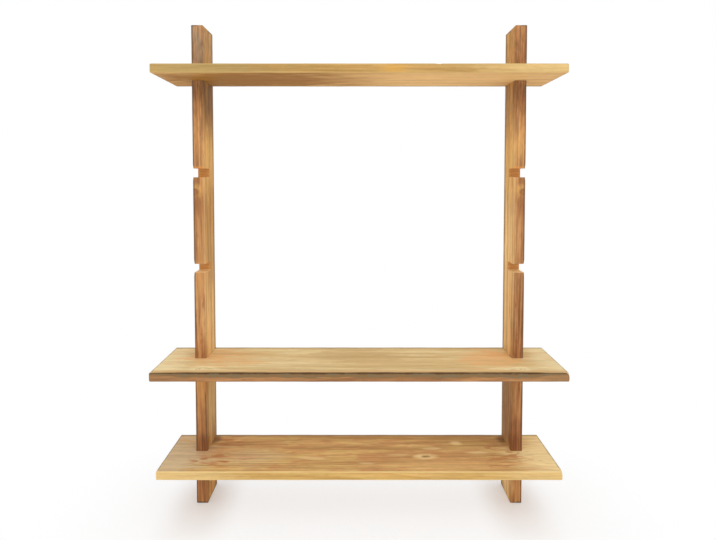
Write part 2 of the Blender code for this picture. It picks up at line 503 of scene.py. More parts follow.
def ring_mask(place, pith, lean, width, wander, lift):
    """Year rings of the log that a plank was sawn from, on any cut through it.

    The radius is the distance from the pith line, which leans as it runs along the plank; slow noise stirs
    it and knots lift it. The radius over the ring width, uneven from year to year, counts the rings. The
    fraction of that count darkens slowly into latewood and falls off sharply after it.
    """
    along = place.parts()[0]
    stir = place.noise((1.9, 9.0, 9.0), 2.0, "Color") - (0.5, 0.5, 0.5)
    from_pith = place - pith - lean * along + stir * wander
    radius = (from_pith * (0.0, 1.0, 1.0)).length() + lift
    season = {"W": radius * 45.0, "Scale": 1.0, "Detail": 1.0}
    uneven = radius.put("ShaderNodeTexNoise", season, "Fac", noise_dimensions="1D")
    count = radius / width + uneven * 2.5
    part = arithmetic("FRACT", count)
    year = arithmetic("FLOOR", count)
    tone = year.put("ShaderNodeTexWhiteNoise", {"W": year}, "Value", noise_dimensions="1D")
    return [part.step(0.2, 0.9) * part.fall(0.92, 1.0) * (tone * 0.6 + 0.4)]


def fibre_masks(place):
    """Grain within the rings, all of it noise drawn out along the plank.

    Fibre is the finest. Line is the thin dark lines that show from a step away, and Streak the long bands.
    Fleck is the short dashes between the lines. Mottle is the curled figure that stain brings out, and
    Blotch its broad patches. Speck is high in the small dark spots of resin.
    """
    fibre = place.noise((22.0, 900.0, 900.0), 3.0)
    line = place.noise((7.0, 230.0, 230.0), 4.0, Roughness=0.62)
    streak = place.noise((2.6, 48.0, 48.0), 3.0)
    fleck = place.noise((42.0, 210.0, 210.0), 3.0)
    mottle = place.noise((17.0, 52.0, 52.0), 3.0, Distortion=0.9)
    blotch = place.noise((6.0, 17.0, 17.0), 2.0)
    speck = place.noise((34.0, 190.0, 190.0), 1.0).step(0.67, 0.76)
    return fibre, line, streak, fleck, mottle, blotch, speck


def knot_masks(place, centre, across, radius):
    """A branch that runs through a plank: distance from its axis, over its radius, gives each mask.

    Core is the dark heart, Rim the line of bark round it, Halo the pale wood that flows by, and Lift how
    far the year rings are pushed aside.
    """
    ragged = place.noise((110.0, 110.0, 110.0), 2.0) * 1.2 - 0.6
    distance = ((place - centre) * across).length() / radius + ragged
    core = distance.fall(0.35, 1.0)
    rim = distance.step(0.6, 0.95) * distance.fall(0.95, 1.5)
    halo = distance.step(0.8, 1.4) * distance.fall(1.6, 4.2)
    lift = arithmetic("EXPONENT", distance * distance * -0.22) * radius * 1.6
    return core, rim, halo, lift


def patch_mask(place, centre, size, ragged):
    """A stain with a ragged rim: 1 near its centre and 0 outside its half sizes."""
    uneven = place.noise((14.0, 60.0, 60.0), 3.0) - 0.5
    distance = ((place - centre) / size).length() + uneven * ragged
    return [distance.fall(0.25, 1.0)]


def arris_mask(place, half, reach):
    """Closeness to the nearest arris of a plank: second largest of its closeness to three pairs of faces."""
    depths = (half - abs(place)).parts()
    first, second, third = [arithmetic("MAXIMUM", 1.0 - depth / reach, 0.0) for depth in depths]
    larger = arithmetic("MAXIMUM", first, second)
    smaller = arithmetic("MINIMUM", first, second)
    return [arithmetic("MAXIMUM", smaller, arithmetic("MINIMUM", larger, third))]


def ridge_mask(place):
    """Ridges that a hand saw leaves: a sine of the place across its slanting stroke, bent by noise."""
    stroke_slant = 0.3
    ridge_pitch = 0.0022
    along, depth, _ = place.parts()
    across = along * stroke_slant + depth + place.noise((60.0, 60.0, 60.0), 2.0) * 0.004
    return [arithmetic("SINE", across * (2 * math.pi / ridge_pitch)) * 0.5 + 0.5]


GROWTH_RINGS = shader_group(
    "growth_rings", ring_mask, ("Place", "Pith", "Lean"), ("Width", "Wander", "Lift"), ("Latewood",)
)
FIBRES = shader_group(
    "fibres", fibre_masks, ("Place",), (), ("Fibre", "Line", "Streak", "Fleck", "Mottle", "Blotch", "Speck")
)
KNOT = shader_group(
    "knot", knot_masks, ("Place", "Centre", "Across"), ("Radius",), ("Core", "Rim", "Halo", "Lift")
)
SOFT_PATCH = shader_group("soft_patch", patch_mask, ("Place", "Centre", "Size"), ("Ragged",), ("Mask",))
ARRIS = shader_group("arris", arris_mask, ("Place", "Half"), ("Reach",), ("Edge",))
SAW_MARKS = shader_group("saw_marks", ridge_mask, ("Place",), (), ("Ridge",))

# Raggedness of a stain's rim: as a rule, and where it breaks up into curls
RAGGED = 1.2
CURLED = 2.0

# Timber, with places and sizes on a plank's own axes: along, depth, thickness
Timber = namedtuple("Timber", "pith lean ring_width wander knots")
Knot = namedtuple("Knot", "centre across radius")
Stain = namedtuple("Stain", "centre size colour share ragged", defaults=(RAGGED,))

# Colours of a planed face
Tones = namedtuple("Tones", "early late streak flush")

# How a branch runs through a plank: what each axis counts for in the distance from its heart
THROUGH_THICKNESS = (1.0, 1.0, 0.0)
LONG_THROUGH_THICKNESS = (0.6, 1.0, 0.0)
INTO_FRONT = (1.0, 0.2, 0.75)
KNOT_RADIUS = 0.006

# How far a stain spreads in depth and in thickness, and in thickness only
INNER_STAIN_SPREAD = (0.10, 0.02)
FRONT_STAIN_SPREAD = (0.05, 0.03)
TOP_STAIN_SPREAD = 0.025

# Wood tones, linear, from pale to dark
CREAM = (0.95, 0.74, 0.38)
PALE_HONEY = (0.98, 0.69, 0.33)
HONEY = (0.90, 0.58, 0.25)
GOLD = (0.86, 0.52, 0.165)
STRAW = (0.70, 0.49, 0.21)
AMBER = (0.63, 0.31, 0.11)
CHESTNUT = (0.43, 0.22, 0.065)
RUSSET = (0.36, 0.15, 0.057)
DARK_RED = (0.22, 0.085, 0.035)
UMBER = (0.18, 0.085, 0.026)

# Greys and dark browns, linear: weather, a crack, dark edges and bands, and painted shade
ASH = (0.64, 0.50, 0.315)
WEATHERED = (0.36, 0.26, 0.17)
DARK_GREY_BROWN = (0.25, 0.17, 0.105)
DARK_ARRIS = (0.14, 0.085, 0.05)

# Satin oil
OIL_ROUGHNESS = 0.57
OIL_SPECULAR = 0.05
RELIEF_STRENGTH = 0.4
RELIEF_DEPTH = 0.0008


def blank_material(name):
    """A material with no nodes yet."""
    material = bpy.data.materials.new(name)
    material.use_nodes = True
    material.node_tree.nodes.clear()
    return material


def object_place(tree):
    """Place in the frame."""
    return Value(add_node(tree, "ShaderNodeTexCoord", {}).outputs["Object"])


class Wood:
    """The finish of a plank: its material, the place on the plank, and the masks of its grain."""

    def __init__(self, name, half):
        self.material = blank_material(name)
        self.in_frame = object_place(self.material.node_tree)
        self.half = tuple(half)

    def saw_from(self, timber, place):
        """Take the plank from its timber: its place there, and its knots, rings and fibres as masks."""
        self.place = place
        self.along, self.depth, self.thickness = place.parts()
        self.knots = [place.through(KNOT, *knot) for knot in timber.knots]
        lift = 0.0
        for knot in self.knots:
            lift = knot[-1] + lift
        log = (timber.pith, timber.lean, timber.ring_width, timber.wander, lift)
        [self.latewood] = place.through(GROWTH_RINGS, *log)
        fibres = place.through(FIBRES)
        self.fibre, self.line, self.streak, self.fleck, self.mottle, self.blotch, self.speck = fibres

    def attribute(self, name):
        """A number stored on the mesh."""
        return self.place.put("ShaderNodeAttribute", {}, "Fac", attribute_name=name)

    def front(self, arris):
        """1 on the front edge, and 0 behind the front arrises."""
        half_depth = self.half[1]
        return (self.depth * -1.0).step(half_depth - arris, half_depth - 0.3 * arris)

    def arris(self, reach):
        """Closeness to the nearest arris, within a reach."""
        [edge] = self.place.through(ARRIS, self.half, reach)
        return edge

    def back_band(self, reach):
        """1 on a band of the faces along the back arrises, and a little on the back itself."""
        half_depth = self.half[1]
        near = (self.depth + self.mottle * 0.01).step(half_depth - reach, half_depth - 0.002)
        on_back = self.depth.step(half_depth - 0.0012, half_depth - 0.0003)
        return near * (1.0 - on_back * 0.7)

    def planed(self, tones, ringed, lined):
        """Colour of a planed face: earlywood, flushed in places, then streaks, latewood, lines and fibres."""
        figure = self.mottle * 0.65 + self.blotch * 0.35
        colour = (figure.step(0.40, 0.62) * 0.9).blend(tones.early, tones.flush)
        colour = (self.streak.step(0.44, 0.68) * 0.75).blend(colour, tones.streak)
        colour = (self.latewood * ringed).blend(colour, tones.late)
        colour = (self.line.step(0.5, 0.7) * lined).blend(colour, tones.late)
        colour = (self.fibre.step(0.5, 0.75) * 0.3).blend(colour, tones.late)
        return (self.speck * 0.6).blend(colour, tones.late)

    def stained(self, colour, stains, within=1.0):
        """A colour with stains laid over it, one after another, where a mask lets them."""
        for stain in stains:
            [patch] = self.place.through(SOFT_PATCH, stain.centre, stain.size, stain.ragged)
            colour = (patch * stain.share * within).blend(colour, stain.colour)
        return colour

    def figured(self, colour, lined, flecked, banded):
        """A colour with lines, flecks and bands through its stains too: darker on them, brighter between."""
        light = (0.5 - self.line) * lined + (0.5 - self.fleck) * flecked + (0.5 - self.streak) * banded
        return colour * (light + 1.0)

    def knotted(self, colour, heart, bark, pale):
        """A colour with the plank's knots in it."""
        for core, rim, halo, _ in self.knots:
            colour = (halo * 0.6).blend(colour, pale)
            colour = (core * 0.85).blend(colour, heart)
            colour = (rim * 0.55).blend(colour, bark)
        return colour

    def sawn_over(self, colour, cut, dark):
        """A colour with bare, ridged wood where the saw went, and the relief of the plank.

        The relief is raised latewood, lines and fine fibres on planed faces, and saw ridges on sawn ones.
        """
        sawn = self.attribute("sawn")
        [ridge] = self.place.through(SAW_MARKS)
        colour = sawn.blend(colour, (ridge * 0.3).blend(cut, dark))
        planed = self.fibre * 0.4 + self.latewood * 0.5 - self.line * 0.4
        ridged = self.fibre * 0.4 + ridge * 0.9
        return colour, ridged * sawn + planed * (1.0 - sawn)

    def oiled(self, colour, relief):
        """The material, under a satin oil: colour, a roughness that varies with the grain, and relief."""
        roughness = self.fibre * 0.22 + OIL_ROUGHNESS - self.latewood * 0.1
        bump = {"Height": relief, "Strength": RELIEF_STRENGTH, "Distance": RELIEF_DEPTH}
        finish = {
            "Base Color": colour,
            "Roughness": roughness,
            "Specular IOR Level": OIL_SPECULAR,
            "Normal": self.place.put("ShaderNodeBump", bump),
        }
        shader = self.place.put("ShaderNodeBsdfPrincipled", finish)
        add_node(self.material.node_tree, "ShaderNodeOutputMaterial", {"Surface": shader})
        return self.material


# Wood of the uprights

UPRIGHT_HALF = half_of("right_upright")[STANDING]

# A drying crack in the left one's front edge
CRACK_HEIGHT = 0.23
CRACK_HALF_LENGTH = 0.075
CRACK_FROM_MIDDLE = -0.0098

# Height of the middle of the painted highlight on the inner front arris, and the heights that weather sets in
# at, and is whole at
HIGHLIGHT_HEIGHT = 0.74
WEATHER_STARTS = 0.80
WEATHER_WHOLE = 1.10


def up_plank(height):
    """Place along an upright of a height above the floor."""
    return height - UPRIGHT_HALF[0]


def upright_place(in_frame):
    """Place on either upright from its middle: up z, depth y, and thickness x with the inner face below 0."""
    centre = centre_of("right_upright")
    x, y, z = in_frame.parts()
    return x.put("ShaderNodeCombineXYZ", {0: z - centre[2], 1: y - centre[1], 2: abs(x) - centre[0]})


def on_inner(height, reach, colour, share):
    """A stain on an upright's inner face, at a height above the floor."""
    centre = (up_plank(height), 0.0, -UPRIGHT_HALF[2])
    return Stain(centre, (reach, *INNER_STAIN_SPREAD), colour, share)


def on_front(height, reach, colour, share):
    """A stain on an upright's front edge, at a height above the floor."""
    centre = (up_plank(height), -UPRIGHT_HALF[1], 0.0)
    return Stain(centre, (reach, *FRONT_STAIN_SPREAD), colour, share)


def upright_stains():
    """Stains that both uprights have, then those of the left one and of the right one."""
    both = (
        on_inner(0.27, 0.16, STRAW, 0.8),
        on_inner(0.55, 0.26, HONEY, 0.9),
        on_front(0.97, 0.12, AMBER, 0.45),
        on_front(0.215, 0.10, RUSSET, 0.75),
        on_front(0.79, 0.055, RUSSET, 0.9),
        on_inner(0.40, 0.09, HONEY, 0.65),
        # Painted shade on the front edge just above the bottom board.
        on_front(0.15, 0.05, DARK_RED, 1.0),
        on_front(0.40, 0.05, RUSSET, 0.7),
        # Painted shade under the top board, on the inner face.
        on_inner(1.06, 0.09, CHESTNUT, 0.6),
        on_inner(0.90, 0.13, GOLD, 0.75),
        # Painted shade under the top board, on the front edge.
        on_front(1.09, 0.045, DARK_ARRIS, 0.55),
    )
    left = (
        # Painted shade under the top board.
        on_inner(1.075, 0.12, UMBER, 1.0),
        on_inner(0.69, 0.22, CHESTNUT, 0.9),
        on_front(0.61, 0.08, AMBER, 0.75),
        on_front(0.31, 0.08, AMBER, 0.9),
        # Painted shade on the left foot's front edge, below the bottom board.
        on_front(0.05, 0.08, RUSSET, 0.75),
        on_front(1.20, 0.11, WEATHERED, 0.95),
        on_inner(1.21, 0.08, WEATHERED, 0.4),
    )
    right = (
        on_front(0.49, 0.20, DARK_RED, 0.9),
        on_front(1.06, 0.07, DARK_RED, 0.6),
        on_front(1.21, 0.10, RUSSET, 0.65),
        on_front(0.05, 0.08, AMBER, 0.65),
        on_inner(0.25, 0.17, DARK_RED, 0.95),
        # Painted light: the right foot's inner face made pale where the floor shades it.
        on_inner(0.06, 0.10, PALE_HONEY, 1.0),
        on_front(0.19, 0.07, DARK_RED, 0.7),
        on_inner(0.74, 0.14, PALE_HONEY, 0.45),
        # Painted shade under the top board.
        on_inner(1.09, 0.05, UMBER, 0.35),
        on_front(0.945, 0.07, GOLD, 0.35),
    )
    return both, left, right


def cracked(wood, colour, within):
    """A colour with one thin drying crack in an upright's front edge, near its inner arris."""
    off_crack = abs(wood.thickness + wood.streak * 0.003 - CRACK_FROM_MIDDLE)
    from_middle = abs(wood.along - up_plank(CRACK_HEIGHT))
    crack = off_crack.fall(0.0007, 0.0021) * from_middle.fall(CRACK_HALF_LENGTH - 0.020, CRACK_HALF_LENGTH)
    return (crack * within * 0.9).blend(colour, DARK_ARRIS)


def arris_shade_and_highlight(wood, colour, front):
    """A colour shaded on the front edge towards an upright's inner arris, with a painted highlight on that
    arris mid-way up.
    """
    shade = (0.20, 0.085, 0.035)
    towards_inner = (wood.thickness * -1.0).step(0.0, UPRIGHT_HALF[2])
    colour = (towards_inner * front * 0.2).blend(colour, shade)
    inner_front = arithmetic("MAXIMUM", wood.depth, wood.thickness) < 0.0
    mid_way = abs(wood.along - up_plank(HIGHLIGHT_HEIGHT)).fall(0.2, 0.36)
    # Painted highlight: a pale line along the inner front arris.
    arris_highlight = wood.arris(reach=0.0045).step(0.2, 0.75) * mid_way * inner_front
    return (arris_highlight * 0.3).blend(colour, PALE_HONEY)


def fresh_lip(wood, colour, front):
    """A colour with bare orange wood on the chipped lip over the upper free notch."""
    bare_orange = (0.70, 0.29, 0.075)
    lip = LOWEST_NOTCH + FREE_LEVELS[-1] * NOTCH_PITCH + NOTCH_HEIGHT
    above_lip = wood.along - up_plank(lip)
    over_notch = above_lip > -NOTCH_HEIGHT / 2
    chipped = (above_lip + wood.mottle * 0.016).fall(0.008, 0.017) * over_notch * front
    return (chipped * 0.8).blend(colour, bare_orange)


def notch_floor(wood):
    """1 at the height of a notch's floor, and 0 elsewhere."""
    slack = 0.0008
    return (wood.along - up_plank(LOWEST_NOTCH - slack)) % NOTCH_PITCH < 2 * slack


def upright_edges(wood, colour, on_left):
    """A colour with two dark arrises, outer front and inner back, a darker band along the back and a scuffed
    left foot.
    """
    darkened = (wood.arris(reach=0.0075) + wood.mottle * 0.8).step(0.68, 1.12)
    outer_front_or_inner_back = wood.depth * wood.thickness < 0.0
    colour = (darkened * outer_front_or_inner_back * 0.8).blend(colour, DARK_ARRIS)
    colour = (wood.back_band(reach=0.018) * 0.75).blend(colour, DARK_GREY_BROWN)
    above_floor = wood.along - up_plank(0.0)
    scuffed = (above_floor + wood.mottle * 0.012).fall(0.006, 0.013) * on_left
    return (scuffed * 0.75).blend(colour, DARK_ARRIS)


def upright_wood():
    """Uprights: close-ringed pine, redder on the front edges, golden on the sides, weathered at the top."""
    front_knot = Knot((up_plank(0.824), -UPRIGHT_HALF[1], 0.012), INTO_FRONT, 0.0065)
    side_knot = Knot((up_plank(0.295), 0.02, 0.0), THROUGH_THICKNESS, KNOT_RADIUS)
    timber = Timber(
        pith=(0.0, 0.02, 0.085), lean=(0.0, 0.02, 0.012),
        ring_width=0.0065, wander=0.016,
        knots=(front_knot, side_knot),
    )
    sides = Tones(
        early=(0.74, 0.43, 0.135), late=(0.36, 0.16, 0.045),
        streak=(0.50, 0.25, 0.07), flush=(0.63, 0.33, 0.098),
    )
    fronts = Tones(
        early=(0.57, 0.30, 0.122), late=(0.26, 0.105, 0.04),
        streak=(0.45, 0.212, 0.08), flush=(0.54, 0.255, 0.102),
    )
    knot_heart = (0.44, 0.19, 0.075)
    saw_cut = (0.65, 0.32, 0.105)
    wood = Wood("upright_wood", UPRIGHT_HALF)
    wood.saw_from(timber, upright_place(wood.in_frame))
    front = wood.front(UPRIGHT_ARRIS)
    side_colour = wood.planed(sides, ringed=0.8, lined=0.65)
    edge_colour = wood.planed(fronts, ringed=0.8, lined=0.7)
    colour = front.blend(side_colour, edge_colour)
    colour = wood.knotted(colour, knot_heart, fronts.late, sides.early)

    on_right = wood.in_frame.parts()[0] > 0.0
    on_left = 1.0 - on_right
    uneven = wood.line.step(0.4, 0.6) * 0.5 + 0.5
    both, left, right = upright_stains()
    colour = wood.stained(colour, both, uneven)
    colour = wood.stained(colour, left, uneven * on_left)
    colour = wood.stained(colour, right, uneven * on_right)

    weathered = wood.along.step(up_plank(WEATHER_STARTS), up_plank(WEATHER_WHOLE))
    colour = wood.figured(colour, lined=0.7, flecked=weathered * 0.9 + 0.4, banded=0.9 - front * 0.7)
    colour = (weathered * wood.line.step(0.52, 0.64) * 0.5).blend(colour, DARK_GREY_BROWN)
    colour = cracked(wood, colour, front * on_left)
    colour = arris_shade_and_highlight(wood, colour, front)
    colour = fresh_lip(wood, colour, front)
    colour = upright_edges(wood, colour, on_left)
    # Painted light: the notch floors, which face up, come out paler than the sawn walls.
    cut = notch_floor(wood).blend(saw_cut, PALE_HONEY)
    return wood.oiled(*wood.sawn_over(colour, cut, sides.late))


# Wood of the boards


def sawn_board(node, timber):
    """A board's wood, its place from the middle: along x, depth y with the front below 0, thickness z."""
    wood = Wood(node + "_wood", half_of(node))
    wood.saw_from(timber, wood.in_frame - tuple(centre_of(node)))
    return wood


def on_top(along, depth, reach, colour, share, ragged=RAGGED):
    """A stain on a board's top face, which reaches so far along it and across it."""
    centre = (along, depth, BOARD_HALF_THICKNESS)
    return Stain(centre, (*reach, TOP_STAIN_SPREAD), colour, share, ragged)


def on_edge(node, along, reach, colour, share):
    """A stain on a board's front edge."""
    return Stain((along, -half_of(node)[1], 0.0), (reach, *FRONT_STAIN_SPREAD), colour, share)


def board_edges(wood, colour, front_tone, front_share):
    """A colour with a board's arrises: a band of the front tone along the front, on the straight boards pale,
    partly wear and partly a painted highlight, and darker along the back and the ends.
    """
    half_depth = wood.half[1]
    behind = wood.depth.step(0.010 - half_depth, 0.016 - half_depth)
    # Along the front arrises, a band in the front tone: on the straight boards pale, partly wear and partly a
    # painted highlight.
    front_arris_band = (wood.arris(reach=0.0045) + wood.blotch * 0.4).step(0.55, 0.95) * (1.0 - behind)
    colour = (front_arris_band * front_share).blend(colour, front_tone)
    darker_behind = (wood.arris(reach=0.009) + wood.mottle * 0.5).step(0.65, 0.95)
    darker_behind = arithmetic("MAXIMUM", darker_behind, wood.back_band(reach=0.014)) * behind
    return (darker_behind * 0.65).blend(colour, DARK_GREY_BROWN)


def straight_board_wood(node, timber, faces, fronts, pale_arris, stains, curls, front_stains):
    """A straight board: honey-stained pine with a brighter front edge, and pale front arrises, partly rubbed
    and partly a painted highlight.
    """
    knot_heart = (0.30, 0.20, 0.07)
    knot_bark = (0.40, 0.25, 0.095)
    saw_cut = (0.45, 0.21, 0.075)
    wood = sawn_board(node, timber)
    colour = wood.stained(wood.planed(faces, ringed=0.5, lined=0.4), stains)
    colour = wood.stained(colour, curls, wood.mottle.step(0.46, 0.56))
    colour = wood.knotted(colour, knot_heart, knot_bark, CREAM)
    edge_colour = wood.stained(wood.planed(fronts, ringed=0.7, lined=0.35), front_stains)
    colour = wood.front(BOARD_ARRIS).blend(colour, edge_colour)
    colour = wood.figured(colour, lined=0.6, flecked=0.3, banded=0.3)
    colour = board_edges(wood, colour, pale_arris, 0.65)
    return wood.oiled(*wood.sawn_over(colour, saw_cut, faces.late))


def bottom_shelf_wood():
    """Bottom board: mottled gold and pink, red curls by the uprights, a tight knot, and paler ends."""
    node = "bottom_shelf"
    timber = Timber(
        pith=(0.0, 0.03, -0.12), lean=(0.0, 0.06, 0.02),
        ring_width=0.012, wander=0.026,
        knots=(Knot((0.171, -0.031, 0.0), LONG_THROUGH_THICKNESS, KNOT_RADIUS),),
    )
    faces = Tones(
        early=(0.77, 0.535, 0.21), late=(0.43, 0.215, 0.075),
        streak=(0.60, 0.34, 0.13), flush=(0.66, 0.34, 0.145),
    )
    fronts = Tones(
        early=(0.68, 0.45, 0.155), late=(0.52, 0.29, 0.085),
        streak=(0.60, 0.37, 0.12), flush=(0.67, 0.42, 0.155),
    )
    # Pale front arris: partly wear, partly a painted highlight.
    pale_arris = (0.92, 0.71, 0.34)
    red = (0.46, 0.135, 0.045)
    painted_contact_shade = (0.19, 0.075, 0.032)
    stains = (
        on_top(-0.47, -0.02, (0.13, 0.20), ASH, 0.85),
        on_top(0.48, -0.02, (0.13, 0.20), CREAM, 0.95),
        on_top(-0.28, -0.03, (0.12, 0.09), ASH, 0.4),
        # These two are painted shade under the middle board: they darken the back of the top face, most at
        # the right.
        on_top(0.28, 0.09, (0.24, 0.07), CHESTNUT, 0.6),
        on_top(-0.05, 0.11, (0.42, 0.05), CHESTNUT, 0.5),
        on_top(0.162, -0.031, (0.03, 0.012), CREAM, 0.7),
        on_top(0.262, 0.058, (0.022, 0.022), CREAM, 0.6, CURLED),
        on_top(0.19, 0.02, (0.035, 0.012), CREAM, 0.5, CURLED),
        on_top(0.315, -0.005, (0.04, 0.015), CREAM, 0.5, CURLED),
        on_top(-0.12, -0.04, (0.05, 0.014), CREAM, 0.45, CURLED),
        on_top(0.02, -0.075, (0.03, 0.012), CREAM, 0.5),
        on_top(0.10, -0.02, (0.05, 0.015), CREAM, 0.4),
        on_top(0.20, -0.085, (0.20, 0.05), HONEY, 0.45),
        # Painted shade on the board at the inner side of each upright's foot.
        on_top(-0.395, 0.09, (0.022, 0.05), painted_contact_shade, 0.75),
        on_top(0.395, 0.09, (0.022, 0.05), painted_contact_shade, 0.75),
    )
    curls = (
        on_top(-0.37, -0.05, (0.09, 0.07), red, 0.7, CURLED),
        on_top(0.39, -0.03, (0.10, 0.09), red, 0.6, CURLED),
        on_top(-0.35, 0.06, (0.06, 0.05), red, 0.45, CURLED),
    )
    front_stains = (
        on_edge(node, -0.45, 0.20, STRAW, 0.8),
        on_edge(node, 0.45, 0.16, STRAW, 0.7),
    )
    return straight_board_wood(node, timber, faces, fronts, pale_arris, stains, curls, front_stains)


def top_shelf_wood():
    """Top board: yellow pine, olive at the left and pale at the right, with an orange-brown underside."""
    node = "top_shelf"
    timber = Timber(
        pith=(0.0, -0.04, 0.11), lean=(0.0, -0.04, 0.015),
        ring_width=0.011, wander=0.016,
        knots=(),
    )
    faces = Tones(
        early=(0.76, 0.48, 0.18), late=(0.48, 0.25, 0.082),
        streak=(0.60, 0.33, 0.11), flush=(0.70, 0.41, 0.15),
    )
    fronts = Tones(
        early=(0.56, 0.35, 0.12), late=(0.40, 0.22, 0.07),
        streak=(0.48, 0.28, 0.09), flush=(0.58, 0.35, 0.125),
    )
    # Pale front arris: partly wear, partly a painted highlight.
    pale_arris = (0.64, 0.45, 0.18)
    olive = (0.42, 0.29, 0.11)
    resin_orange = (0.66, 0.35, 0.08)
    under_brown = (0.32, 0.135, 0.018)
    stains = (
        # The underside is darker at the left and lighter at the right: partly the wood's own tone, partly
        # painted shade and painted light.
        Stain((0.30, 0.0, -BOARD_HALF_THICKNESS), (0.46, 0.3, 0.014), HONEY, 0.6),
        Stain((-0.27, 0.0, -BOARD_HALF_THICKNESS), (0.36, 0.3, 0.03), under_brown, 0.9),
    )
    front_stains = (
        on_edge(node, -0.40, 0.30, olive, 0.75),
        on_edge(node, 0.45, 0.24, STRAW, 0.75),
        on_edge(node, 0.08, 0.05, resin_orange, 0.6),
    )
    return straight_board_wood(node, timber, faces, fronts, pale_arris, stains, (), front_stains)


def waned(wood, colour):
    """A colour with the log's own surface on the waney edge, and that surface's relief.

    It is grey in the hollows and brown on the ridges, with a dark rim along the top face.
    """
    brown = (0.24, 0.14, 0.06)
    grey = (0.20, 0.143, 0.076)
    dark_rim = (0.10, 0.055, 0.026)
    wane = wood.attribute("wane")
    weather = wood.place.noise((45.0, 160.0, 160.0), 4.0)
    on_wane = (wane + weather * 0.16).step(0.54, 0.64)
    bark = weather.step(0.38, 0.62).blend(grey, brown)
    bark = (wane + weather * 0.3).step(0.87, 1.0).blend(bark, dark_rim)
    return on_wane.blend(colour, bark), weather * 1.6 * on_wane


def middle_shelf_wood():
    """Middle board: pale honey pine, orange near the uprights, with a brown sawn front below the wane."""
    node = "middle_shelf"
    half_length, half_depth, _ = half_of(node)
    timber = Timber(
        pith=(0.0, 0.05, -0.14), lean=(0.0, -0.05, 0.02),
        ring_width=0.012, wander=0.03,
        knots=tuple(Knot((along, -0.095, 0.0), THROUGH_THICKNESS, KNOT_RADIUS) for along in (-0.398, 0.404)),
    )
    faces = Tones(
        early=(0.80, 0.64, 0.335), late=(0.52, 0.33, 0.13),
        streak=(0.65, 0.45, 0.19), flush=(0.74, 0.54, 0.265),
    )
    fronts = Tones(
        early=(0.52, 0.26, 0.10), late=(0.23, 0.105, 0.047),
        streak=(0.36, 0.175, 0.073), flush=(0.44, 0.21, 0.09),
    )
    orange = (0.82, 0.45, 0.18)
    pale = (0.88, 0.73, 0.42)
    tan = (0.58, 0.39, 0.165)
    handled_tone = (0.64, 0.37, 0.145)
    end_brown = (0.29, 0.165, 0.075)
    front_arris = (0.27, 0.14, 0.06)
    knot_bark = (0.60, 0.34, 0.14)
    saw_cut = (0.47, 0.24, 0.085)
    stains = (
        on_top(0.0, 0.03, (0.16, 0.12), tan, 0.75),
        on_top(-0.50, 0.0, (0.08, 0.20), pale, 0.75),
        on_top(0.50, 0.0, (0.08, 0.20), pale, 0.75),
        on_top(-0.35, 0.01, (0.12, 0.12), orange, 0.25),
        on_top(0.35, 0.01, (0.12, 0.12), orange, 0.6),
    )
    curls = (
        on_top(-0.36, 0.0, (0.16, 0.14), orange, 0.6, CURLED),
        on_top(0.36, 0.0, (0.16, 0.14), orange, 0.6, CURLED),
        on_top(-0.38, -0.09, (0.08, 0.03), pale, 0.8, CURLED),
        on_top(0.39, -0.09, (0.08, 0.03), pale, 0.8, CURLED),
    )
    front_stains = (
        on_edge(node, -half_length, 0.14, end_brown, 0.5),
        on_edge(node, half_length, 0.17, end_brown, 0.8),
    )
    wood = sawn_board(node, timber)
    colour = wood.stained(wood.planed(faces, ringed=0.45, lined=0.25), stains)
    colour = wood.stained(colour, curls, wood.mottle.step(0.44, 0.56))
    colour = wood.knotted(colour, pale, knot_bark, pale)
    handled = (wood.depth + wood.mottle * 0.012).fall(0.022 - half_depth, 0.036 - half_depth)
    colour = (handled * 0.6).blend(colour, handled_tone)
    edge_colour = wood.stained(wood.planed(fronts, ringed=0.8, lined=0.5), front_stains)
    colour = wood.front(BOARD_ARRIS).blend(colour, edge_colour)
    colour = wood.figured(colour, lined=0.4, flecked=0.25, banded=0.2)
    colour = board_edges(wood, colour, front_arris, 0.6)
    colour, bark_relief = waned(wood, colour)
    colour, relief = wood.sawn_over(colour, saw_cut, faces.late)
    return wood.oiled(colour, bark_relief + relief)


# Stage


def backdrop_rays(tree):
    """1 for the rays that see the backdrop itself: from the camera, off gloss and through glass."""
    path = add_node(tree, "ShaderNodeLightPath", {}).outputs
    rays = ("Is Camera Ray", "Is Glossy Ray", "Is Transmission Ray")
    camera, glossy, transmission = [Value(path[name]) for name in rays]
    return arithmetic("MAXIMUM", arithmetic("MAXIMUM", camera, glossy), transmission)


def outside_boxes(place, middle, half):
    """Distance along the floor from boxes at a middle place and at its mirror images."""
    offset = abs(abs(place) - middle) - half
    return arithmetic("MAXIMUM", offset, (0.0, 0.0, 0.0)).length()


def floor_paint():
    """Pale matt floor, which fades into the white backdrop away from the unit."""
    material = blank_material("floor_paint")
    tree = material.node_tree
    place = object_place(tree)
    unit_half = (0.45, 0.10, 1.0)
    foot_half = (0.015, 0.06, 1.0)
    foot_x, foot_y, _ = centre_of("right_upright")
    off_unit = outside_boxes(place, (0.0, 0.0, 0.0), unit_half).step(0.02, 0.40)
    off_feet = outside_boxes(place, (foot_x, foot_y, 0.0), foot_half).step(0.0, 0.10)
    near_share = off_feet * (WHITE_NEAR_UNIT - WHITE_AT_FEET) + WHITE_AT_FEET
    white_share = near_share + off_unit * (1.0 - near_share)
    tone = place.noise((3.0, 3.0, 3.0), 2.0).blend((0.93, 0.93, 0.93), (0.95, 0.95, 0.95))
    matt = place.put("ShaderNodeBsdfDiffuse", {"Color": tone})
    white = place.put("ShaderNodeEmission", {"Color": WHITE, "Strength": 1.0})
    mix = {0: white_share * backdrop_rays(tree), 1: matt, 2: white}
    add_node(tree, "ShaderNodeOutputMaterial", {"Surface": place.put("ShaderNodeMixShader", mix)})
    return material


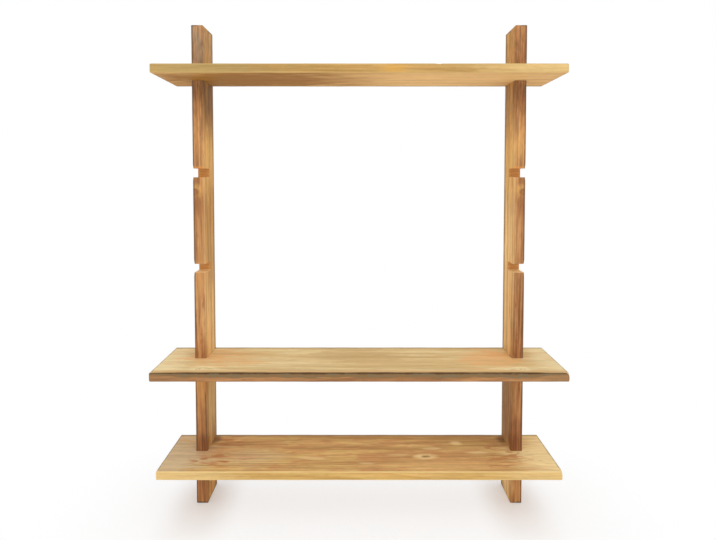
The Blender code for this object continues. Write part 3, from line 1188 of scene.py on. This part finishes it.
def make_floor():
    """The round floor that the unit stands on: one face through points at radius * (cos, sin)."""
    turn = np.linspace(0.0, 2 * np.pi, FLOOR_SIDES, endpoint=False)
    level = np.full(FLOOR_SIDES, FLOOR_LEVEL)
    rim = np.stack([FLOOR_RADIUS * np.cos(turn), FLOOR_RADIUS * np.sin(turn), level], axis=-1)
    mesh = bpy.data.meshes.new("floor")
    mesh.from_pydata(rim.tolist(), [], [list(range(FLOOR_SIDES))])
    floor = new_piece("floor", mesh)
    floor.data.materials.append(floor_paint())


def make_world(strength):
    """Soft white light from all round, in front of a white backdrop."""
    world = bpy.data.worlds.new("studio")
    world.use_nodes = True
    tree = world.node_tree
    tree.nodes.clear()
    seen_strength = backdrop_rays(tree) * (1.0 - strength) + strength
    sky = seen_strength.put("ShaderNodeBackground", {"Color": WHITE, "Strength": seen_strength})
    add_node(tree, "ShaderNodeOutputWorld", {"Surface": sky})
    bpy.context.scene.world = world


def make_lamp(name, place, target, size, power):
    """A square soft lamp that faces a target."""
    light = bpy.data.lights.new(name, "AREA")
    light.shape = "SQUARE"
    light.size = size
    light.energy = power
    lamp = bpy.data.objects.new(name, light)
    lamp.visible_camera = False
    lamp.location = place
    lamp.rotation_euler = (Vector(target) - Vector(place)).to_track_quat("-Z", "Y").to_euler()
    bpy.context.scene.collection.objects.link(lamp)


def make_camera():
    """The camera, level with the upper bay and tipped down a little, its axis above the image's middle."""
    lens = bpy.data.cameras.new("camera")
    lens.sensor_fit = "HORIZONTAL"
    lens.sensor_width = SENSOR_WIDTH
    lens.lens = FOCAL_PIXELS * SENSOR_WIDTH / IMAGE_WIDTH
    lens.shift_y = -AXIS_ROWS_ABOVE_MIDDLE / IMAGE_WIDTH
    camera = bpy.data.objects.new("camera", lens)
    camera.location = CAMERA_PLACE
    camera.rotation_euler = (math.pi / 2 - CAMERA_PITCH, 0.0, 0.0)
    bpy.context.scene.collection.objects.link(camera)
    bpy.context.scene.camera = camera


# The unit


def finish_piece(piece, material, node, body):
    """Smooth shading with crisp sawn edges, the finish, and the ties to the frame."""
    piece.data.materials.clear()
    piece.data.materials.append(material)
    piece.data.shade_smooth()
    piece.data.set_sharp_from_angle(angle=SHARP_ANGLE)
    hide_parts(node)
    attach(piece, body)


def make_uprights():
    """Both uprights, in one finish."""
    finish = upright_wood()
    for node, phase in (("left_upright", 0.4), ("right_upright", 1.9)):
        name = node + "_plank"
        piece = new_piece(name, skin_mesh(name, knocked_upright_grid(node, phase)))
        saw_out(piece, notch_boxes(node))
        finish_piece(piece, finish, node, "uprights")


def make_board(name, node, finish, phase, knock, knock_along=None, waney=False):
    """A board that slides on its own, with its slots and a knocked arris, or else right front corner."""
    low, high = box_of(node)
    knock_x = high[0] if knock_along is None else knock_along
    grid = plank_grid(node, LYING, BOARD_ARRIS, phase, waney)
    grid = pressed(grid, (knock_x, low[1], high[2]), **knock)
    piece = new_piece(name, skin_mesh(name, grid))
    saw_out(piece, slot_boxes(node))
    if waney:
        mark_wane(piece, node)
    finish_piece(piece, finish, node, node)


bpy.context.scene.view_settings.view_transform = "Standard"
make_camera()
make_floor()
make_world(strength=0.90)
make_lamp("front_lamp", place=(0.5, -2.7, 2.7), target=(0.0, 0.0, 0.6), size=2.4, power=22.0)
make_lamp("low_lamp", place=(0.0, -2.6, 0.35), target=(0.0, 0.0, 0.8), size=2.0, power=12.0)
make_uprights()
make_board("bottom_board", "bottom_shelf", bottom_shelf_wood(), 2.7, CORNER_KNOCK)
make_board("middle_board", "middle_shelf", middle_shelf_wood(), 0.9, CORNER_KNOCK, waney=True)
make_board("top_board", "top_shelf", top_shelf_wood(), 1.3, ARRIS_KNOCK, ARRIS_KNOCK_PLACE)
